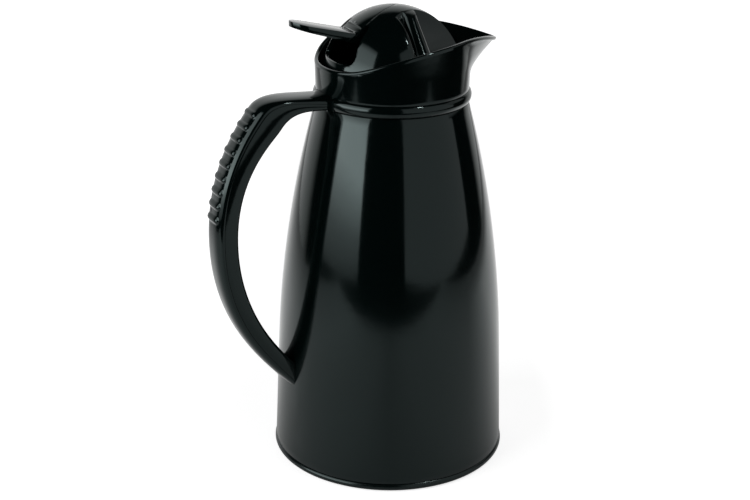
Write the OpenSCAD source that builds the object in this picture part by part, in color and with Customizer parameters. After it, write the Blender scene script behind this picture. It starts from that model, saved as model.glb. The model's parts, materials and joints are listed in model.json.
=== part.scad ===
// Thermal carafe: conical plastic body round a double-walled glass flask, a collar with
// a pouring lip, a swept handle, and a screw-in lid whose thumb lever opens a valve.
// Millimetres. Origin on the body's axis at the standing face, +Z up, +X to the spout.

/* [Body] */
// Radius of the body's wall just above the base seam
body_r = 69.3; // [66:0.1:74]
// Height of the seam between base cap and body
seam_z = 4.8; // [4:0.1:7]
// Height of the body's shoulder, where the handle's ring sits
shoulder_z = 217.7; // [210:0.1:235]
// Height up to which the wall is a straight cone
cone_z = 70; // [50:1:90]
// Lean of the cone from the vertical, in degrees
cone_lean = 2.2; // [1.5:0.1:3]
// Radius of the body's wall at the shoulder
shoulder_r = 43.8; // [43:0.1:46]
// Wall of the body
shell_wall = 2.6; // [2:0.1:3.2]
// Largest radius of the base cap's bead
base_r = 70; // [68:0.1:75]
// Height of the recess under the base cap
base_recess = 1.6; // [1:0.1:2.4]

/* [Flask] */
// Distance from the foot of the body's wall in to the flask's widest part
flask_gap = 16.3; // [15:0.1:20]
// Height of the flask's bottom above the standing face
flask_z = 16; // [14:0.5:20]
// Glass thickness
glass = 1.6; // [1.2:0.1:2.2]
// Empty gap between the two glass walls
vacuum = 3.4; // [2.4:0.1:4]
// Inner radius of the flask's neck
mouth_r = 21; // [19:0.5:22]
// Depth of the flask's lip below the shoulder
lip_drop = 14.7; // [13.7:0.1:19]

/* [Neck and collar] */
// Height of the handle's ring round the neck
ring_h = 7.3; // [6:0.1:9]
// How far the collar's foot stands out past the body's shoulder
collar_step = 0.2; // [0:0.1:1]
// How much the collar widens from the ring to the rim
collar_flare = 0.4; // [0:0.1:1.5]
// Wall of the collar
collar_wall = 2.2; // [1.8:0.1:2.8]
// Height of the rim's highest point above the shoulder
rim_h = 37.6; // [33:0.1:44]
// Place of the rim's highest point along X
rim_x = 21; // [15:1:26]
// Radius of the rim's long arc, seen from the side
rim_r = 130; // [115:1:150]
// Radius of the arc that levels the rim over the handle
rim_dip_r = 36; // [28:1:44]
// Place along X where the two arcs of the rim meet
rim_dip_x = -33; // [-36:1:-30]
// Radius at which the spout's nose leaves the collar, seen from the side
nose_bend = 16; // [12:1:20]
// Steepness of the spout's nose above the horizontal, in degrees
nose_rise = 35; // [30:1:42]
// Radius of the spout's tip in plan
nose_tip_r = 3.2; // [2.6:0.1:5]
// Inner radius of the throat that takes the stopper
throat_r = 25; // [24.5:0.1:26]

/* [Handle] */
// Knee of the handle's back, where the arm turns down, as X and height above the shoulder
back_knee_at = [-86.7, 3.8]; // [-100:0.1:10]
// Knee of the handle's inner face, as X and height above the shoulder
inner_knee_at = [-73.3, -7]; // [-90:0.1:5]
// Height of the handle's outermost point
bow_z = 148; // [130:1:160]
// Reach of the handle's back at the outermost point
bow_reach = 112.8; // [106:0.2:122]
// Depth of the grip at the outermost point
bow_depth = 12.7; // [11:0.1:15]
// Height where the handle's back runs into the body
foot_z = 51.4; // [40:0.2:60]
// Height of the foot from its back to its inner face
foot_depth = 15; // [12:0.5:18]
// Width of the section at the ring, knee, bow and foot
handle_width = [22, 20, 18.6, 16.6]; // [14:0.2:24]
// Depth of the crowned outer shell of the handle
crown_depth = 4.2; // [3.4:0.1:5]
// Wall of the two handle mouldings
handle_wall = 2.2; // [1.8:0.1:2.4]
// Number of grip ribs
rib_count = 9; // [5:1:11]
// Distance from rib to rib
rib_pitch = 7.9; // [6:0.1:9]
// Radius of a grip rib
rib_r = 2.4; // [1.8:0.1:2.8]
// How far a grip rib stands out
rib_proud = 1.2; // [0.6:0.1:1.6]
// Length of a grip rib between the centres of its round ends
rib_len = 9; // [6:0.5:10]

/* [Lid] */
// Radius of the dome
dome_r = 40; // [39:0.1:40.4]
// Height of the dome's top above the shoulder
dome_h = 53.9; // [50:0.1:58]
// Wall of the dome
dome_wall = 2.6; // [2:0.1:3]
// Lean of the two flat cheeks from the vertical, in degrees
cheek_lean = 28; // [20:1:34]
// Turn of each cheek towards the spout, in degrees
cheek_turn = 19.5; // [12:0.5:24]
// Distance of each cheek from the dome's centre
cheek_d = 27.5; // [26:0.5:30]
// Height above the shoulder of the ledge below each cheek
ledge_h = 29.8; // [28:0.1:34]
// Half width of the thumb lever
lever_w = 9.7; // [8:0.1:11]
// Distance from the axis to the end of the lever's tab
tab_reach = 63.4; // [56:0.5:70]
// Rise of the tab, in degrees
tab_rise = 13.5; // [8:0.5:16]
// Thickness of the tab at its end
tab_t = 3; // [2.4:0.1:4]
// Place of the lever's pivot, as X and height above the shoulder
pivot_at = [12, 39.3]; // [8:0.1:44]
// Radius of the lever's pin
pin_r = 1.5; // [1.2:0.1:2]

/* [Stopper and valve] */
// Depth of the stopper's lower end below the shoulder
stopper_drop = 25.7; // [22:0.1:30]
// Radius of the valve stem
stem_r = 2.5; // [2:0.1:3]
// Radius of the valve disc
valve_r = 16.5; // [14:0.5:18]
// Wire radius of the valve spring
wire_r = 0.5; // [0.4:0.05:0.7]
// Turns of the valve spring
spring_turns = 5; // [4:1:7]

/* [Fits] */
// Radial clearance of a pin or stem that runs in a bore
run_gap = 0.05; // [0.02:0.01:0.1]
// Gap between pieces that move past each other
move_gap = 0.4; // [0.3:0.05:0.6]
// Gap between pieces of one body that only lie together
seat_gap = 0.2; // [0.1:0.05:0.3]

/* [Hidden] */
$fn = 96;
small_fn = 32;
far = 200;
eps = 0.01;

shell_black = [0.05, 0.06, 0.06];
lid_black = [0.07, 0.08, 0.08];
rubber_grey = [0.30, 0.30, 0.31];
steel_grey = [0.72, 0.73, 0.75];
glass_silver = [0.80, 0.83, 0.86];
valve_white = [0.85, 0.85, 0.83];

// Body wall: a straight cone up to cone_z, then one arc from the cone's direction to the shoulder
cone_top_r = body_r - (cone_z - seam_z) * tan(cone_lean);
waist_dr = cone_top_r - shoulder_r;
waist_dz = shoulder_z - cone_z;
waist_r = (waist_dr * waist_dr + waist_dz * waist_dz)
    / (2 * (waist_dr * cos(cone_lean) - waist_dz * sin(cone_lean)));
waist_cx = cone_top_r - waist_r * cos(cone_lean);
waist_cz = cone_z - waist_r * sin(cone_lean);
function wall_r(z) = z < cone_z
    ? body_r - (z - seam_z) * tan(cone_lean)
    : waist_cx + sqrt(waist_r * waist_r - pow(z - waist_cz, 2));
ring_top = shoulder_z + ring_h;
neck_r = shoulder_r - 2.5;
neck_wall = 2.4;
neck_top = ring_top - 0.4;
wall_steps = 24;
function wall_points(from, to, inset) = [for (i = [0 : wall_steps])
    let (z = from + (to - from) * i / wall_steps) [wall_r(z) - inset, z]];

// Flask: an ellipse below, a straight side and an elliptic shoulder up to the neck
flask_r = body_r - flask_gap;
lip_z = shoulder_z - lip_drop;
flask_bottom_h = 36;
flask_side_z = lip_z - 61;
flask_neck_z = lip_z - 11;
flask_neck_r = mouth_r + 2 * glass + 2.3;
glass_steps = 12;
function flask_half(inset, bottom, neck) = concat(
    [for (i = [0 : glass_steps]) let (a = 90 * i / glass_steps)
        [(flask_r - inset) * sin(a),
         flask_z + flask_bottom_h - (flask_bottom_h - inset) * cos(a)]],
    [for (i = [0 : glass_steps]) let (a = 90 * i / glass_steps)
        [neck + (flask_r - inset - neck) * cos(a),
         flask_side_z + (flask_neck_z - flask_side_z - inset) * sin(a)]]);
pip_r = 3;
pip_h = 5;
spacer_r = 5;
spacer_z = flask_z + 46;
inner_inset = glass + vacuum;
lip_t = 1.6;
lip_edge = 0.5;

// Base cap
base_floor = 2.4;
base_wall = 2.4;
base_rib_turn = 30;
base_rib_w = 2;
base_rib_h = 4;
spigot_h = 9;
spigot_r = wall_r(seam_z + spigot_h) - shell_wall - seat_gap;
bead_z = 2.5;
bead_r = 2.6;
bead_end = 75;
bead_h = (seam_z - bead_z) / sin(bead_end);
foot_ring_r = body_r - 12.3;
foot_ring_edge = 1.2;
pedestal_r = 24;
pedestal_z = 10;
pad_r = 29;
pad_hole_r = 8;
gasket_r = 1.1;

// Collar
collar_r = shoulder_r + collar_step;
rim_z = shoulder_z + rim_h;
bowl_z = shoulder_z + 11.3;
drain_z = shoulder_z + 4.3;
skirt_r = neck_r - neck_wall - 0.3;
skirt_wall = 2.3;
throat_wall = 2.4;
seal_top = lip_z + 2.6;
ledge_t = 3;
nose_bend_z = shoulder_z + 4.3;
nose_top_z = nose_bend_z + nose_bend * cos(nose_rise);
nose_top_x = collar_r + nose_bend * (1 - sin(nose_rise));
function collar_at(z) = collar_r + collar_flare * min(1, max(0, (z - ring_top) / 15));
function nose_x(z) = z <= nose_bend_z ? collar_r
    : z < nose_top_z ? collar_r + nose_bend * (1 - cos(asin((z - nose_bend_z) / nose_bend)))
    : nose_top_x + (z - nose_top_z) / tan(nose_rise);
nose_fade = [[0, collar_r], [7, 31], [13, 17], [19, 8], [24, nose_tip_r], [38, nose_tip_r]];
collar_levels = [for (z = [ring_top : 2.5 : rim_z + 3]) z];
bowl_levels = [for (z = [bowl_z : 2.5 : rim_z + 4]) z];
nose_points = 8;
flank_points = 5;
back_points = 16;

// One level of the collar in plan: a circle drawn out to a rounded nose by straight flanks
function plan_level(z, inset) = let (
    r = collar_at(z) - inset,
    nr = max(lookup(z - nose_bend_z, nose_fade) - inset, 1.2),
    nx = nose_x(z) - inset * 1.1 - nr,
    g = acos((r - nr) / nx),
    half = concat(
        [for (k = [0 : nose_points - 1]) let (a = g * (2 * k + 1) / (2 * nose_points - 1))
            [nx + nr * cos(a), nr * sin(a)]],
        [for (k = [1 : flank_points - 1]) let (t = k / flank_points, m = nr + (r - nr) * t)
            [nx * (1 - t) + m * cos(g), m * sin(g)]],
        [for (k = [0 : back_points - 1]) let (a = g + (180 - g) * 2 * k / (2 * back_points - 1))
            [r * cos(a), r * sin(a)]]))
    concat([for (q = half) [q[0], q[1], z]],
        [for (k = [len(half) - 1 : -1 : 0]) [half[k][0], -half[k][1], z]]);

// Solid through closed loops that run anticlockwise as seen from the last of them. Each loop is
// its own mirror image, point i facing point n - 1 - i, so the ends are closed by strips.
function end_strips(n, first, flip) = [for (i = [0 : (n - 3) / 2])
    let (strip = i + 1 == n - 2 - i ? [i, i + 1, n - 1 - i] : [i, i + 1, n - 2 - i, n - 1 - i],
        last = len(strip) - 1)
    [for (k = [0 : last]) first + strip[flip ? last - k : k]]];
module skin(loops) {
    n = len(loops[0]);
    m = len(loops);
    sides = [for (j = [0 : m - 2], i = [0 : n - 1]) let (k = (i + 1) % n)
        each [[j * n + i, (j + 1) * n + k, j * n + k], [j * n + i, (j + 1) * n + i, (j + 1) * n + k]]];
    polyhedron(points = [for (loop = loops) each loop], convexity = 8,
        faces = concat(end_strips(n, 0, false), sides, end_strips(n, (m - 1) * n, true)));
}

// Handle: a line of three curves for its back and one for its inner face, in the XZ plane
arm_x = -collar_r + 4;
back_knee = back_knee_at + [0, shoulder_z];
inner_knee = inner_knee_at + [0, shoulder_z];
back_lines = [
    [[arm_x, ring_top + 1.2], [arm_x - 22, ring_top + 1.2], back_knee + [7.5, 9.4], back_knee],
    [back_knee, back_knee - [12.6, 15.8], [-bow_reach, bow_z + 34], [-bow_reach, bow_z]],
    [[-bow_reach, bow_z], [-bow_reach, bow_z - 51], [-wall_r(foot_z) - 18, foot_z + 18.9],
     [-wall_r(foot_z) + 4, foot_z - 4]]];
inner_bow = bow_depth - bow_reach;
inner_foot_z = foot_z + foot_depth;
inner_lines = [
    [[arm_x, shoulder_z + 0.7], [arm_x - 14, shoulder_z + 0.7], inner_knee + [8.1, 11.4], inner_knee],
    [inner_knee, inner_knee - [4.6, 6.5], [inner_bow, bow_z + 40], [inner_bow, bow_z]],
    [[inner_bow, bow_z], [inner_bow, bow_z - 43], [-wall_r(inner_foot_z) - 9.3, inner_foot_z + 10.8],
     [-wall_r(inner_foot_z) + 4.4, inner_foot_z - 3.5]]];
function curve(p, t) = pow(1 - t, 3) * p[0] + 3 * pow(1 - t, 2) * t * p[1]
    + 3 * (1 - t) * t * t * p[2] + t * t * t * p[3];
function on_lines(lines, g) = let (k = min(2, floor(g))) curve(lines[k], g - k);
stations_per_curve = 12;
stations = [for (i = [0 : 3 * stations_per_curve]) i / stations_per_curve];
width_law = [for (i = [0 : 3]) [i, handle_width[i]]];
function half_width(g) = (lookup(g - 0.15, width_law) + 2 * lookup(g, width_law)
    + lookup(g + 0.15, width_law)) / 8;
function depth_at(g) = norm(on_lines(back_lines, g) - on_lines(inner_lines, g));
// A point of the section at g: v across the handle, u out from its inner face
function place(g, v, u) = let (a = on_lines(inner_lines, g), b = on_lines(back_lines, g),
    p = a + (b - a) * u / norm(b - a)) [p[0], v, p[1]];
crown_power = 2.6;
crown_steps = 14;
// Crowned section of the back, from one side over the top to the other; below it stays open
function crown_loop(g, inset) = let (w = half_width(g) - inset, high = crown_depth - inset,
    base = depth_at(g) - crown_depth)
    concat([place(g, -w, base - inset)],
        [for (i = [crown_steps : -1 : 0]) let (a = 180 * i / crown_steps)
            place(g, w * sign(cos(a)) * pow(abs(cos(a)), 2 / crown_power),
                base + eps + high * pow(abs(sin(a)), 2 / crown_power))],
        [place(g, w, base - inset)]);
insert_round = 1.6;
root_fillet = 3;
function insert_loop(g, inset, top_gap) = let (w = half_width(g) - inset,
    top = depth_at(g) - crown_depth - top_gap, r = insert_round, k = 0.3 * r)
    [for (q = [[w, top], [w, r + inset], [w - k, k + inset], [w - r, inset],
        [r - w, inset], [k - w, k + inset], [-w, r + inset], [-w, top]]) place(g, q[0], q[1])];
plug_from = 2.84;
function plug_loop(g) = let (w = half_width(g) - handle_wall - seat_gap,
    top = depth_at(g) - handle_wall + 0.4, low = handle_wall + seat_gap)
    [place(g, w, top), place(g, w, low), place(g, -w, low), place(g, -w, top)];

// Outer line of the handle by length, which spaces the ribs
rib_from = 1.03;
outer_line = [for (g = [1 : 0.02 : 2.01]) on_lines(back_lines, g)];
outer_sum = [for (i = 0, s = 0; i < len(outer_line);
    s = s + (i + 1 < len(outer_line) ? norm(outer_line[i + 1] - outer_line[i]) : 0),
    i = i + 1) [s, 1 + 0.02 * i]];
rib_start = lookup(rib_from, [for (q = outer_sum) [q[1], q[0]]]);
function rib_g(i) = lookup(rib_start + i * rib_pitch, outer_sum);

// Screw of the handle's foot
screw_z = foot_z + 8;
screw_r = 1.75;
screw_head_r = 3.6;
screw_head_h = 2.2;
screw_in = 7;
screw_seat = 0.25;

// Lid
dome_top = shoulder_z + dome_h;
dome_z = dome_top - dome_r;
dome_low = dome_z - 0.6;
cheek_back = -6.6;
ledge_z = shoulder_z + ledge_h;
sill_z = shoulder_z + 25.8;
sill_round = 4;
window_w = 17;
window_top_w = 13;
window_top_z = shoulder_z + 40.3;
window_round = 3;
window_front = -20;
leaf_r = 62;
leaf_x = -sqrt(2 * leaf_r * lever_w - lever_w * lever_w) + 0.5;
// Rounded edge at the back of a cheek, and the bar in front of it: ends of its middle line, and radii
edge_r = 3.6;
bar = [[3.4, -10.3, dome_top - 3], [2.8, -26, dome_top - 22.1]];
bar_r = [3.8, 6.2];

// Lever, seen from the side
valley_x = -28.2;
valley_z = dome_top - 11.5;
valley_r = 4.5;
root_t = 5.6;
tab_round = 11;
slot_z = shoulder_z + 34.3;
pivot = pivot_at + [0, shoulder_z];
arm_w = 3.6;
lug_in = arm_w + move_gap;
lug_t = 3.2;
knuckle_r = 4.4;
touch_z = shoulder_z + 33.8;
foot_w = 3;
foot_flat = 1.2;
foot_rise = 0.9;

// Stopper, gasket and valve
disc_z = shoulder_z + 16.3;
disc_t = 2.4;
disc_r = 36.6;
stopper_z = shoulder_z - stopper_drop;
stopper_r = throat_r - move_gap;
stopper_wall = 2.8;
plug_r = mouth_r - 0.6;
plug_wall = 2.6;
gasket_t = 3;
gasket_low = seal_top + ledge_t + 0.3;
shoulder_low = gasket_low + gasket_t + 0.3;
port_low = shoulder_z + 6.8;
port_h = 7;
port_w = 12;
port_angles = [-50, 0, 50];
guide_r = 5;
guide_top = disc_z + 7;
guide_low = disc_z - 7;
seat_r = 13.5;
seat_t = 3;
valve_gasket_t = 1.4;
valve_t = 4;
valve_hub_r = stem_r + 2.4;
valve_hub_h = 6.5;
stem_over = 1.5;
valve_top = stopper_z - 0.3 - valve_gasket_t;
stem_top = touch_z - 0.3;
cap_t = 2;
cap_low = stem_top - cap_t - 1.2;
spring_low = disc_z + disc_t + 0.2;
spring_high = cap_low - 0.2;
spring_r = 7;
lid_screw_r = 1.3;
lid_screw_head_r = 2.6;
lid_screw_head_h = 1.5;
lid_screw_len = 11;
boss_circle_r = max(disc_r - 5.6, stopper_r + lid_screw_head_r + seat_gap);
boss_angles = [0, 125, -125];
boss_r = 3.2;
boss_h = 24;
relief_x = 20;
relief_w = 28;

module revolve(profile) {
    rotate_extrude() polygon(profile);
}

// Everything above the rim, as one prism across the carafe
module above_rim() {
    dip_z = rim_z - rim_r + sqrt(rim_r * rim_r - pow(rim_dip_x - rim_x, 2));
    turn = asin((rim_x - rim_dip_x) / rim_r);
    dip_cx = rim_dip_x - rim_dip_r * sin(turn);
    dip_cz = dip_z + rim_dip_r * cos(turn);
    end = 30;
    line = concat([[-far, dip_cz - rim_dip_r]],
        [for (i = [0 : 8]) let (a = turn * i / 8)
            [dip_cx + rim_dip_r * sin(a), dip_cz - rim_dip_r * cos(a)]],
        [for (i = [1 : 28]) let (a = -turn + (turn + end) * i / 28)
            [rim_x + rim_r * sin(a), rim_z - rim_r + rim_r * cos(a)]],
        [[far, rim_z - rim_r + rim_r * cos(end)], [far, far * 2], [-far, far * 2]]);
    rotate([90, 0, 0]) linear_extrude(far, center = true) polygon(line);
}

module outer_shell() {
    color(shell_black) difference() {
        revolve(concat(
            wall_points(seam_z, shoulder_z, 0),
            [[neck_r, shoulder_z], [neck_r, neck_top], [neck_r - neck_wall, neck_top],
             [neck_r - neck_wall, shoulder_z - 3]],
            [for (i = [wall_steps : -1 : 0]) wall_points(seam_z, shoulder_z - 5, shell_wall)[i]]));
        translate([0, 0, screw_z]) rotate([0, -90, 0])
            cylinder(r = screw_r + 0.15, h = far, $fn = small_fn);
    }
}

// Space of the body's wall, which the handle's foot is cut back to
module body_space(gap) {
    revolve(concat([[0, seam_z]], wall_points(seam_z, shoulder_z, -gap), [[0, shoulder_z]]));
}

module base_cap() {
    bead = [for (i = [0 : 8]) let (a = bead_end * (i / 4 - 1))
        [base_r - bead_r + bead_r * cos(a), bead_z + bead_h * sin(a)]];
    color(shell_black) union() {
        revolve(concat(
            [[0, base_recess], [foot_ring_r, base_recess], [foot_ring_r + foot_ring_edge, 0],
             [base_r - 2, 0]],
            bead,
            [[spigot_r + 1.4, seam_z], [spigot_r, seam_z], [spigot_r, seam_z + spigot_h],
             [spigot_r - base_wall, seam_z + spigot_h],
             [spigot_r - base_wall, base_recess + base_floor],
             [0, base_recess + base_floor]]));
        difference() {
            cylinder(r = pedestal_r, h = pedestal_z);
            translate([0, 0, base_recess + base_floor]) cylinder(r = pedestal_r - base_wall, h = far);
            translate([0, 0, -eps]) cylinder(r = pedestal_r + 1, h = base_recess + eps);
        }
        for (a = [0 : base_rib_turn : 359]) rotate([0, 0, a])
            translate([pedestal_r - base_wall / 2, -base_rib_w / 2, base_recess + base_floor / 2])
            cube([spigot_r - pedestal_r, base_rib_w, base_floor / 2 + base_rib_h]);
    }
}

module base_gasket() {
    color(rubber_grey) rotate_extrude()
        translate([spigot_r - gasket_r + 0.1 - 1.4, seam_z + spigot_h + seat_gap + gasket_r])
        circle(r = gasket_r, $fn = small_fn);
}

// Rubber cup that carries the flask's bottom
module support_pad() {
    bottom_r = flask_r;
    function under(r) = flask_z + flask_bottom_h
        - flask_bottom_h * sqrt(1 - pow(r / bottom_r, 2)) - seat_gap;
    color(rubber_grey) revolve(concat(
        [[pad_hole_r, pedestal_z], [pad_r, pedestal_z], [pad_r + 3, under(pad_r + 3)]],
        [for (i = [8 : -1 : 0]) let (r = pad_hole_r + (pad_r + 3 - pad_hole_r) * i / 8) [r, under(r)]]));
}

module flask_outer() {
    outside = flask_half(0, flask_bottom_h, flask_neck_r);
    inside = flask_half(glass, flask_bottom_h, flask_neck_r - glass);
    color(glass_silver) union() {
        revolve(concat(outside, [[flask_neck_r, lip_z - lip_t], [flask_neck_r - glass, lip_z - lip_t]],
            [for (i = [len(inside) - 1 : -1 : 0]) inside[i]]));
        translate([0, 0, flask_z - pip_h + 0.6])
            cylinder(r1 = pip_r * 0.5, r2 = pip_r, h = pip_h, $fn = small_fn);
    }
}

module flask_inner() {
    outside = flask_half(inner_inset, flask_bottom_h, mouth_r + glass);
    inside = flask_half(inner_inset + glass, flask_bottom_h, mouth_r);
    color(glass_silver) revolve(concat(outside,
        [[mouth_r + glass, lip_z - lip_t], [flask_neck_r, lip_z - lip_t],
         [flask_neck_r, lip_z - lip_edge], [flask_neck_r - lip_edge, lip_z],
         [mouth_r + lip_edge, lip_z], [mouth_r, lip_z - lip_edge]],
        [for (i = [len(inside) - 1 : -1 : 0]) inside[i]]));
}

// Three pads that hold the inner glass off the outer glass
module flask_spacers() {
    color(rubber_grey) for (a = [30, 150, 270]) rotate([0, 0, a]) intersection() {
        translate([0, 0, spacer_z]) rotate([0, 90, 0]) cylinder(r = spacer_r, h = far, $fn = small_fn);
        difference() {
            cylinder(r = flask_r - glass - seat_gap, h = far);
            translate([0, 0, -eps]) cylinder(r = flask_r - inner_inset + seat_gap, h = far + 1);
        }
    }
}

module flask_seal() {
    color(rubber_grey) revolve([
        [mouth_r + 0.6, lip_z + 0.1], [flask_neck_r + seat_gap, lip_z + 0.1],
        [flask_neck_r + seat_gap, lip_z - 6], [flask_neck_r + 2.2, lip_z - 6],
        [flask_neck_r + 2.2, seal_top], [mouth_r + 0.6, seal_top]]);
}

// Collar with bowl, spout and throat
module pouring_collar() {
    color(shell_black) difference() {
        union() {
            skin([for (z = collar_levels) plan_level(z, 0)]);
            revolve([[throat_r + throat_wall, seal_top + 0.1], [throat_r + throat_wall, drain_z - 4],
                [skirt_r - skirt_wall, drain_z - 2], [skirt_r - skirt_wall, shoulder_z - 10],
                [skirt_r, shoulder_z - 10], [skirt_r, ring_top], [collar_r - 0.3, ring_top],
                [collar_r - 0.3, bowl_z + 1], [0, bowl_z + 1], [0, seal_top + 0.1]]);
        }
        skin([for (z = bowl_levels) plan_level(z, collar_wall)]);
        translate([0, 0, drain_z]) cylinder(r1 = throat_r, r2 = collar_at(bowl_z) - collar_wall - 0.1,
            h = bowl_z - drain_z + eps);
        translate([0, 0, bowl_z]) cylinder(r = collar_at(bowl_z) - collar_wall - 0.1, h = 3);
        translate([0, 0, seal_top + ledge_t]) cylinder(r = throat_r, h = 30);
        cylinder(r = mouth_r + 0.6, h = far * 2);
        above_rim();
    }
}

// Nine bars with round ends across the back of the grip
module grip_ribs() {
    for (i = [0 : rib_count - 1]) {
        g = rib_g(i);
        p = place(g, 0, depth_at(g) - rib_r + rib_proud);
        translate(p) {
            rotate([90, 0, 0]) cylinder(r = rib_r, h = rib_len, center = true, $fn = small_fn);
            for (s = [-1, 1]) translate([0, s * rib_len / 2, 0]) sphere(r = rib_r, $fn = small_fn);
        }
    }
}

// Fillets in plan between the arm's sides and the ring
module root_fillets() {
    side = handle_width[0] / 2;
    out = shoulder_r + 1.6;
    x = -sqrt(pow(out + root_fillet, 2) - pow(side + root_fillet, 2));
    for (s = [0, 1]) mirror([0, s, 0]) translate([0, 0, shoulder_z + 0.5])
        linear_extrude(ring_h - 0.9) difference() {
            polygon([[x, -side + 1], [-neck_r, -side + 1], [-neck_r, -side - root_fillet / 2],
                out / (out + root_fillet) * [x, -side - root_fillet], [x, -side - root_fillet]]);
            translate([x, -side - root_fillet]) circle(r = root_fillet, $fn = 48);
        }
}

// Outer moulding of the handle: ring, crowned back, ribs and a plug in the foot
module handle_shell() {
    mid = (shoulder_z + ring_top) / 2;
    color(shell_black) difference() {
        union() {
            difference() {
                union() {
                    skin([for (g = stations) crown_loop(g, 0)]);
                    grip_ribs();
                }
                skin([for (g = stations) crown_loop(g, handle_wall)]);
            }
            skin([for (g = stations) if (g >= plug_from) plug_loop(g)]);
            root_fillets();
            revolve(concat([[neck_r - 1, shoulder_z]],
                [for (i = [0 : 10]) let (a = -90 + 180 * i / 10)
                    [shoulder_r - 1.3 + 3 * pow(abs(cos(a)), 0.8), mid + ring_h / 2 * sin(a)]],
                [[neck_r - 1, ring_top]]));
        }
        cylinder(r = neck_r + seat_gap, h = far * 2);
        translate([0, 0, ring_top]) cylinder(r = collar_r + seat_gap, h = far);
        body_space(0.1);
        translate([0, 0, screw_z]) rotate([0, -90, 0])
            cylinder(r = screw_r, h = wall_r(screw_z) + screw_in + 0.5, $fn = small_fn);
    }
}

// Inner moulding of the handle, a channel that closes the shell
module handle_insert() {
    color(lid_black) difference() {
        skin([for (g = stations) insert_loop(g, 0, seat_gap)]);
        skin([for (g = stations) insert_loop(g, handle_wall, -1)]);
        cylinder(r = shoulder_r + 2, h = far * 2);
        translate([0, 0, -0.1]) root_fillets();
        body_space(0.1);
    }
}

module handle_screw() {
    x = wall_r(screw_z) - shell_wall;
    color(steel_grey) translate([-x + screw_seat, 0, screw_z]) rotate([0, -90, 0]) {
        cylinder(r = screw_r - run_gap, h = shell_wall + screw_in, $fn = small_fn);
        translate([0, 0, -screw_head_h]) cylinder(r = screw_head_r, h = screw_head_h, $fn = small_fn);
    }
}

module stopper_gasket() {
    color(rubber_grey) revolve([
        [plug_r + move_gap, gasket_low], [throat_r - move_gap, gasket_low],
        [throat_r - move_gap, gasket_low + gasket_t], [plug_r + move_gap, gasket_low + gasket_t]]);
}

// Screw-in stopper: plug with valve seat, tube with pouring ports, closing disc, stem guide
module stopper_body() {
    color(lid_black) difference() {
        union() {
            difference() {
                revolve([[seat_r, stopper_z], [plug_r, stopper_z], [plug_r, shoulder_low],
                    [stopper_r, shoulder_low], [stopper_r, disc_z], [disc_r, disc_z],
                    [disc_r, disc_z + disc_t], [0, disc_z + disc_t], [0, disc_z],
                    [stopper_r - stopper_wall, disc_z], [stopper_r - stopper_wall, shoulder_low + 3],
                    [plug_r - plug_wall, shoulder_low], [plug_r - plug_wall, stopper_z + seat_t],
                    [seat_r, stopper_z + seat_t]]);
                for (a = port_angles) rotate([0, 0, a])
                    translate([stopper_r / 2, -port_w / 2, port_low]) cube([stopper_r, port_w, port_h]);
            }
            translate([0, 0, guide_low]) cylinder(r = guide_r, h = guide_top - guide_low);
        }
        translate([0, 0, guide_low - 1]) cylinder(r = stem_r + run_gap, h = 30);
        for (a = boss_angles) rotate([0, 0, a]) translate([boss_circle_r, 0, 0])
            cylinder(r = lid_screw_r + 0.15, h = far * 2, $fn = small_fn);
    }
}

// Half space beyond the cheek on the near side, above the ledge and ahead of the ribs
module cheek_cut(d, low, back) {
    for (s = [0, 1]) mirror([0, s, 0]) intersection() {
        translate([0, 0, dome_z]) rotate([0, 0, cheek_turn]) rotate([90 - cheek_lean, 0, 0])
            translate([-far / 2, -far / 2, d]) cube(far);
        translate([back, -far, low]) cube([far, far, far]);
    }
}

// Straight taper between two points
module taper(a, b, ra, rb) {
    v = b - a;
    translate(a) rotate([0, acos(v[2] / norm(v)), atan2(v[1], v[0])])
        cylinder(r1 = ra, r2 = rb, h = norm(v), $fn = 48);
}

// Behind each cheek: the dome's edge rounded over, and an upright bar
module cheek_ribs() {
    ring = sqrt(pow(dome_r - edge_r, 2) - cheek_back * cheek_back);
    over = 0.25 * (bar[0] - bar[1]);
    translate([cheek_back, 0, dome_z]) rotate([0, 90, 0]) rotate_extrude()
        translate([ring, 0]) circle(r = edge_r, $fn = 48);
    for (s = [0, 1]) mirror([0, s, 0]) taper(bar[0] + over, bar[1] - over, bar_r[0], bar_r[1]);
}

// Outline of the lever in plan: a tab with a round end and a leaf that comes to a point
module lever_plan(gap, reach) {
    arc = [for (i = [0 : 16]) let (x = leaf_x + (0.5 - leaf_x) * i / 16)
        [x, sqrt(leaf_r * leaf_r - pow(x - leaf_x, 2)) - leaf_r + lever_w]];
    end = [for (i = [0 : 10]) let (a = 90 * i / 10)
        [-reach + tab_round * (1 - cos(a)), lever_w * sin(a)]];
    half = concat(end, arc);
    body = concat(half, [for (i = [len(half) - 2 : -1 : 1]) [half[i][0], -half[i][1]]]);
    offset(delta = gap) polygon(body);
}

// Opening in the dome's back below the lever
module dome_window() {
    rotate([90, 0, -90]) translate([0, 0, -window_front]) linear_extrude(far) hull() {
        for (s = [-1, 1]) {
            translate([s * (window_w - sill_round), sill_z + sill_round])
                circle(r = sill_round, $fn = small_fn);
            translate([s * (window_top_w - window_round), window_top_z + window_round])
                circle(r = window_round, $fn = small_fn);
        }
    }
}

module dome_solid(inset) {
    intersection() {
        difference() {
            translate([0, 0, dome_z]) sphere(r = dome_r - inset);
            cheek_cut(cheek_d - inset, ledge_z - inset, cheek_back - inset);
        }
        translate([-far / 2, -far / 2, dome_low - (inset > 0 ? 1 : 0)]) cube(far);
    }
}

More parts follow.
